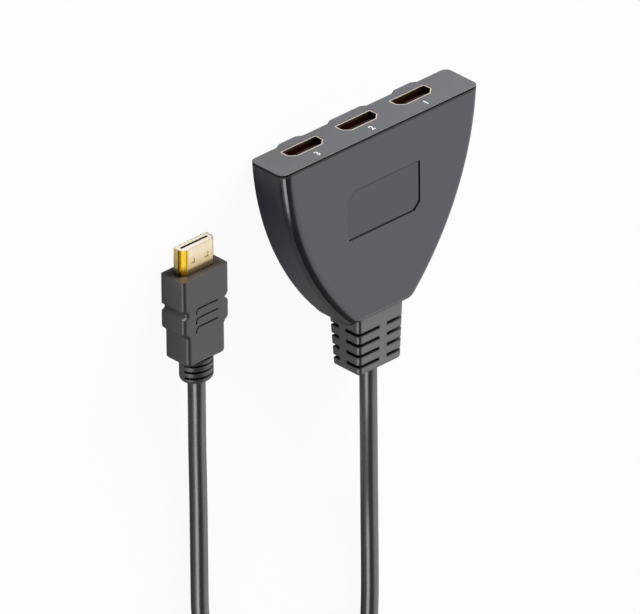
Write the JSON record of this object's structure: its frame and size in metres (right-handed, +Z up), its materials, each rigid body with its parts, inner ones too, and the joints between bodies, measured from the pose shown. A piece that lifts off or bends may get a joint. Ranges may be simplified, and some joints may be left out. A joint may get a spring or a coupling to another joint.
{
  "type": "video switch box",
  "caption": "Small flat shield-shaped video switch box with a row of input sockets, a select button, and a fixed output cable ending in a moulded plug.",
  "frame": {"origin": "on the surface that the box lies on, in the middle of the box and its strain relief seen from above", "axes": "+X along the row of sockets, +Y out of the port face, +Z up out of the label face, so the select button faces down"},
  "size_m": [0.1191, 0.2365, 0.0156],
  "materials": {
    "casing": "satin moulded plastic, dark blue-grey",
    "blank_plate": "satin, flat blank plate",
    "gold_plate": "bright gold plating on steel",
    "socket_black": "moulded insulator, near black",
    "plug_cream": "moulded insulator, cream",
    "contact_gold": "gold-plated contacts",
    "board": "glass-epoxy board under green solder mask",
    "chip": "moulded chip body, black",
    "tinned_metal": "tinned sheet metal",
    "ceramic": "ceramic chip parts, tan",
    "screw_steel": "zinc-plated steel",
    "switch_plastic": "black switch body",
    "spring_steel": "spring steel snap dome",
    "button_plastic": "satin moulded button cap",
    "lamp": "indicator lamp, red",
    "light_pipe": "clear moulded light pipe",
    "relief_vinyl": "matt vinyl, finely textured",
    "cable_jacket": "satin vinyl cable jacket",
    "ferrule_copper": "crimped copper ferrule",
    "wire_insulation": "thin wire insulation",
    "plug_vinyl": "matt vinyl overmould",
    "tie_plastic": "flat strap, black"
  },
  "bodies": {
    "housing": {"board_passives": "ceramic", "button_cover": "casing", "cable_box_side": "cable_jacket", "cable_coil": "cable_jacket", "cable_ferrule": "ferrule_copper", "cable_plug_side": "cable_jacket", "cable_stub": "cable_jacket", "circuit_board": "board", "coil_tie": "tie_plastic", "cover_screws": "screw_steel", "crystal": "tinned_metal", "equaliser_chip": "chip", "indicator_leds": "lamp", "label_cover": "casing", "label_plate": "blank_plate", "light_pipes": "light_pipe", "output_wires": "wire_insulation", "plug_contacts": "contact_gold", "plug_insulator": "plug_cream", "plug_overmould": "plug_vinyl", "plug_relief": "plug_vinyl", "plug_shell": "gold_plate", "push_switch_base": "switch_plastic", "push_switch_frame": "tinned_metal", "regulator": "chip", "snap_dome": "spring_steel", "socket_contacts_1": "contact_gold", "socket_contacts_2": "contact_gold", "socket_contacts_3": "contact_gold", "socket_insulator_1": "socket_black", "socket_insulator_2": "socket_black", "socket_insulator_3": "socket_black", "socket_shell_1": "gold_plate", "socket_shell_2": "gold_plate", "socket_shell_3": "gold_plate", "strain_relief": "relief_vinyl", "switch_chip": "chip"},
    "select_button": {"select_button": "button_plastic", "push_switch_plunger": "switch_plastic"}
  },
  "joints": [
    {"name": "select_press", "type": "slide", "parent": "housing", "child": "select_button", "axis": [0, 0, 1], "range_m": [0, 0.00035], "stiffness_N_per_m": 2000, "springref_m": -0.0001, "deforming": ["snap_dome"]}
  ]
}
